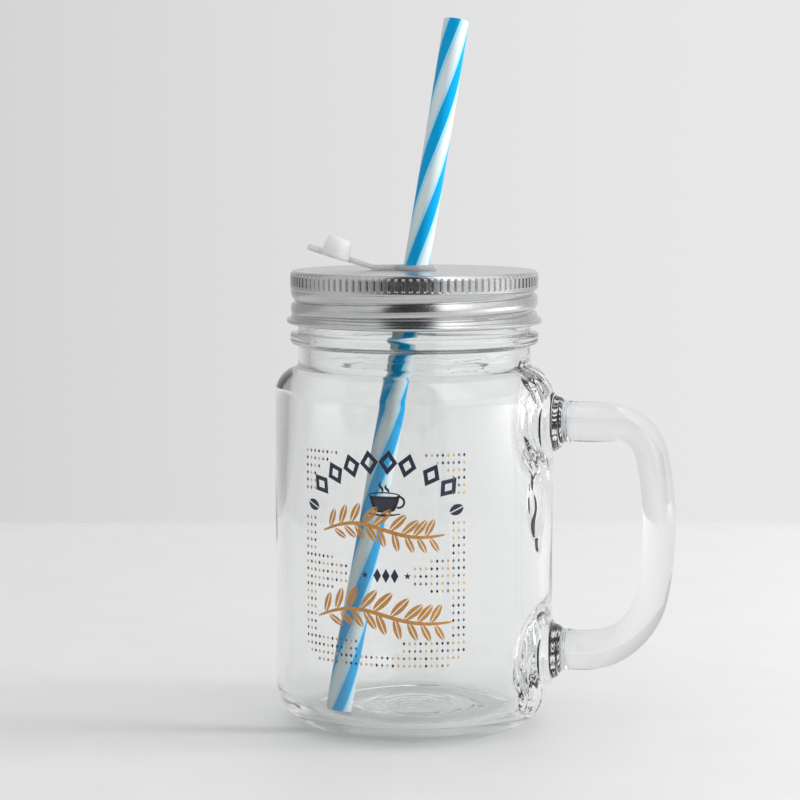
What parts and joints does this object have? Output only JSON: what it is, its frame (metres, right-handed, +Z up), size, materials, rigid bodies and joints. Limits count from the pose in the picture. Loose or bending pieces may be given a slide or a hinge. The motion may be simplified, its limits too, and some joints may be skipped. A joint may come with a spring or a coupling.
{
  "type": "drinking jar",
  "caption": "Clear glass drinking jar with a fused side handle, a screw-on metal lid, a straw through a soft grommet and a stopper tethered by a folding strap.",
  "frame": {"origin": "centre of the base ring on the jar's axis, on the plane the jar stands on", "axes": "+Z up along the jar's axis, +X towards the handle, -Y out of the decorated front"},
  "size_m": [0.1152, 0.0795, 0.2018],
  "materials": {
    "glass": "clear, fire-polished",
    "tinplate": "satin tin plate",
    "seal": "matte",
    "silicone": "translucent, satin",
    "straw_plastic": "glossy, blue stripes on translucent white",
    "navy_ink": "fired glass ink",
    "ochre_ink": "fired glass ink"
  },
  "bodies": {
    "jar": {"jar_glass": "glass", "handle": "glass", "print_navy": "navy_ink", "print_ochre": "ochre_ink"},
    "liner": {"lid_liner": "seal"},
    "lid": {"lid_shell": "tinplate", "grommet": "silicone", "strap_root": "silicone"},
    "stopper": {"strap": "silicone", "stopper_plug": "silicone", "pull_tab": "silicone"},
    "straw": {"straw": "straw_plastic"}
  },
  "joints": [
    {"name": "lid_rise", "type": "slide", "parent": "jar", "child": "liner", "axis": [0, 0, 1], "range_m": [0, 0.0178]},
    {"name": "lid_turn", "type": "hinge", "parent": "liner", "child": "lid", "pos_m": [0, 0, 0.1295], "axis": [0, 0, 1], "range_deg": [0, 1260]},
    {"name": "stopper_flip", "type": "hinge", "parent": "lid", "child": "stopper", "pos_m": [-0.01118, -0.00268, 0.13025], "axis": [-0.2334, 0.9724, 0], "range_deg": [-17, 80], "stiffness_Nm_per_rad": 0.005},
    {"name": "straw_slide", "type": "slide", "parent": "lid", "child": "straw", "axis": [0.1319, 0.1629, 0.9778], "range_m": [0, 0.13]}
  ],
  "couplings": [
    {"joint": "lid_rise", "follows": "lid_turn", "m_per_rad": 0.00080851}
  ]
}
